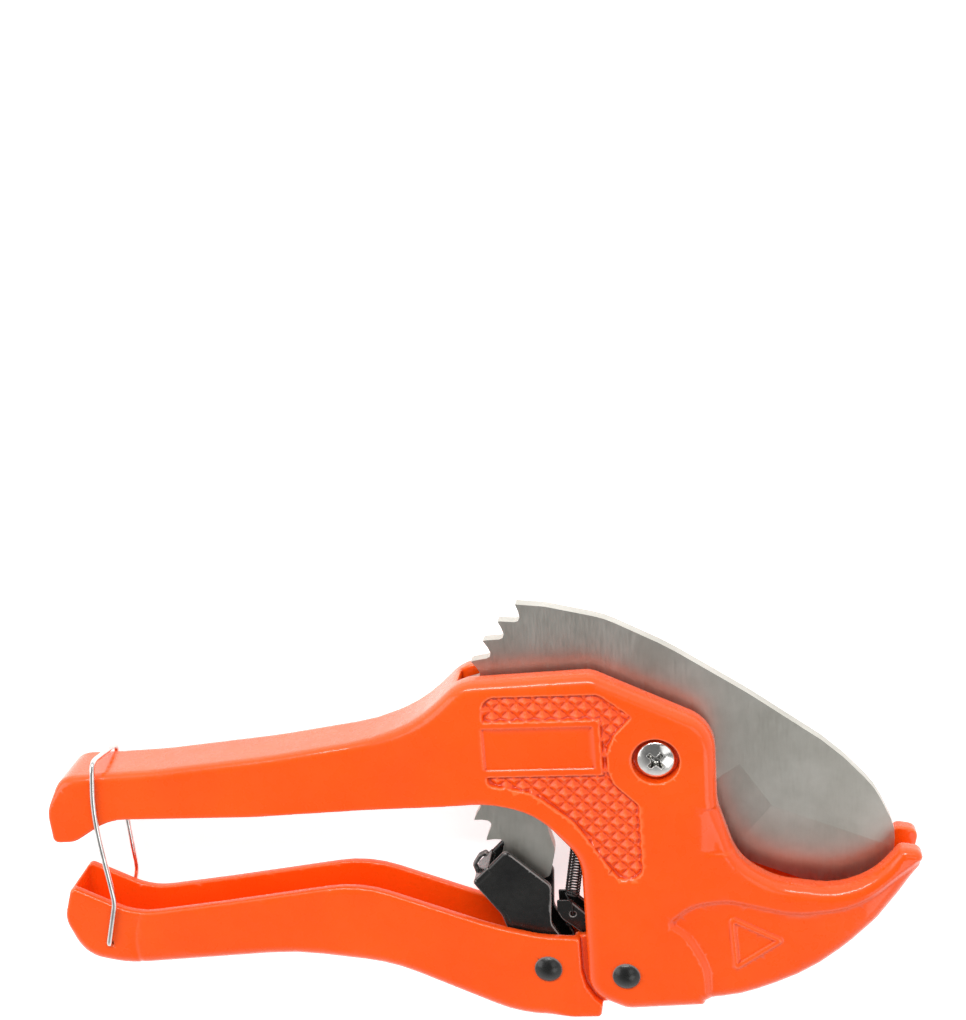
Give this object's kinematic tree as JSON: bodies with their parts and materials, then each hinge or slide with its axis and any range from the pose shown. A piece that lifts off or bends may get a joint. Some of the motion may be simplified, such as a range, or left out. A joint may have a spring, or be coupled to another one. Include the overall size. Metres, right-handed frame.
{
  "type": "pipe cutter",
  "caption": "Ratcheting hand cutter for plastic pipe: cast head with hook jaw and fixed grip, toothed swing blade, pumping lever with pawls and a wire latch.",
  "frame": {"origin": "centre of the bounding box in plan, at the lowest point of the tool lying on its side (the end of the hinge pin)", "axes": "+X along the tool from the grips to the hook jaw, +Y from the moving lever towards the back of the blade, +Z along the pivot pins towards the screw-head side"},
  "size_m": [0.1926, 0.0973, 0.0205],
  "materials": {
    "enamel": "orange stoving enamel on die-cast metal, semi-gloss",
    "black_oxide": "blackened steel, semi-gloss",
    "bright_screw": "bright plated steel",
    "wire": "bright plated spring wire",
    "blade_steel": "fine ground and brushed steel",
    "bare_steel": "bare turned steel"
  },
  "bodies": {
    "frame": {"body_casting": "enamel", "spring_anchor": "bare_steel", "pivot_screw": "bright_screw", "pivot_nut": "black_oxide", "pivot_bushing": "bare_steel", "blade_washer_top": "bare_steel", "blade_washer_bottom": "bare_steel", "hinge_pin": "black_oxide", "hinge_pin_clip": "black_oxide", "hinge_washer": "black_oxide", "pawl_tension_spring": "black_oxide"},
    "cutting_blade": {"blade": "blade_steel"},
    "lever": {"lever_casting": "enamel", "pawl_pin": "black_oxide", "pawl_pin_clip": "black_oxide", "pawl_spacer_top": "bare_steel", "pawl_spacer_bottom": "bare_steel", "pawl_torsion_spring": "black_oxide"},
    "driver": {"drive_pawl": "black_oxide"},
    "holder": {"holding_pawl": "black_oxide"},
    "latch": {"wire_bail": "wire"}
  },
  "joints": [
    {"name": "blade_pivot", "type": "hinge", "parent": "frame", "child": "cutting_blade", "pos_m": [0.0408, 0.0146, 0.0104], "axis": [0, 0, 1], "range_deg": [0, 88]},
    {"name": "lever_hinge", "type": "hinge", "parent": "frame", "child": "lever", "pos_m": [0.0317, -0.0369, 0.0104], "axis": [0, 0, 1], "range_deg": [0, 30], "deforming": ["wire_bail"]},
    {"name": "drive_pawl_pivot", "type": "hinge", "parent": "lever", "child": "driver", "pos_m": [0.0143, -0.0358, 0.0104], "axis": [0, 0, 1], "range_deg": [-31, 1], "deforming": ["pawl_torsion_spring"]},
    {"name": "holding_pawl_pivot", "type": "hinge", "parent": "frame", "child": "holder", "pos_m": [0.0317, -0.0369, 0.0104], "axis": [0, 0, 1], "range_deg": [0, 8], "stiffness_Nm_per_rad": 0.03, "deforming": ["pawl_tension_spring"]},
    {"name": "latch_hinge", "type": "hinge", "parent": "lever", "child": "latch", "pos_m": [-0.0866, -0.0284, 0.0104], "axis": [0, 0, 1], "range_deg": [0, 200]}
  ],
  "couplings": [
    {"joint": "drive_pawl_pivot", "follows": "lever_hinge", "ratio": -1}
  ]
}
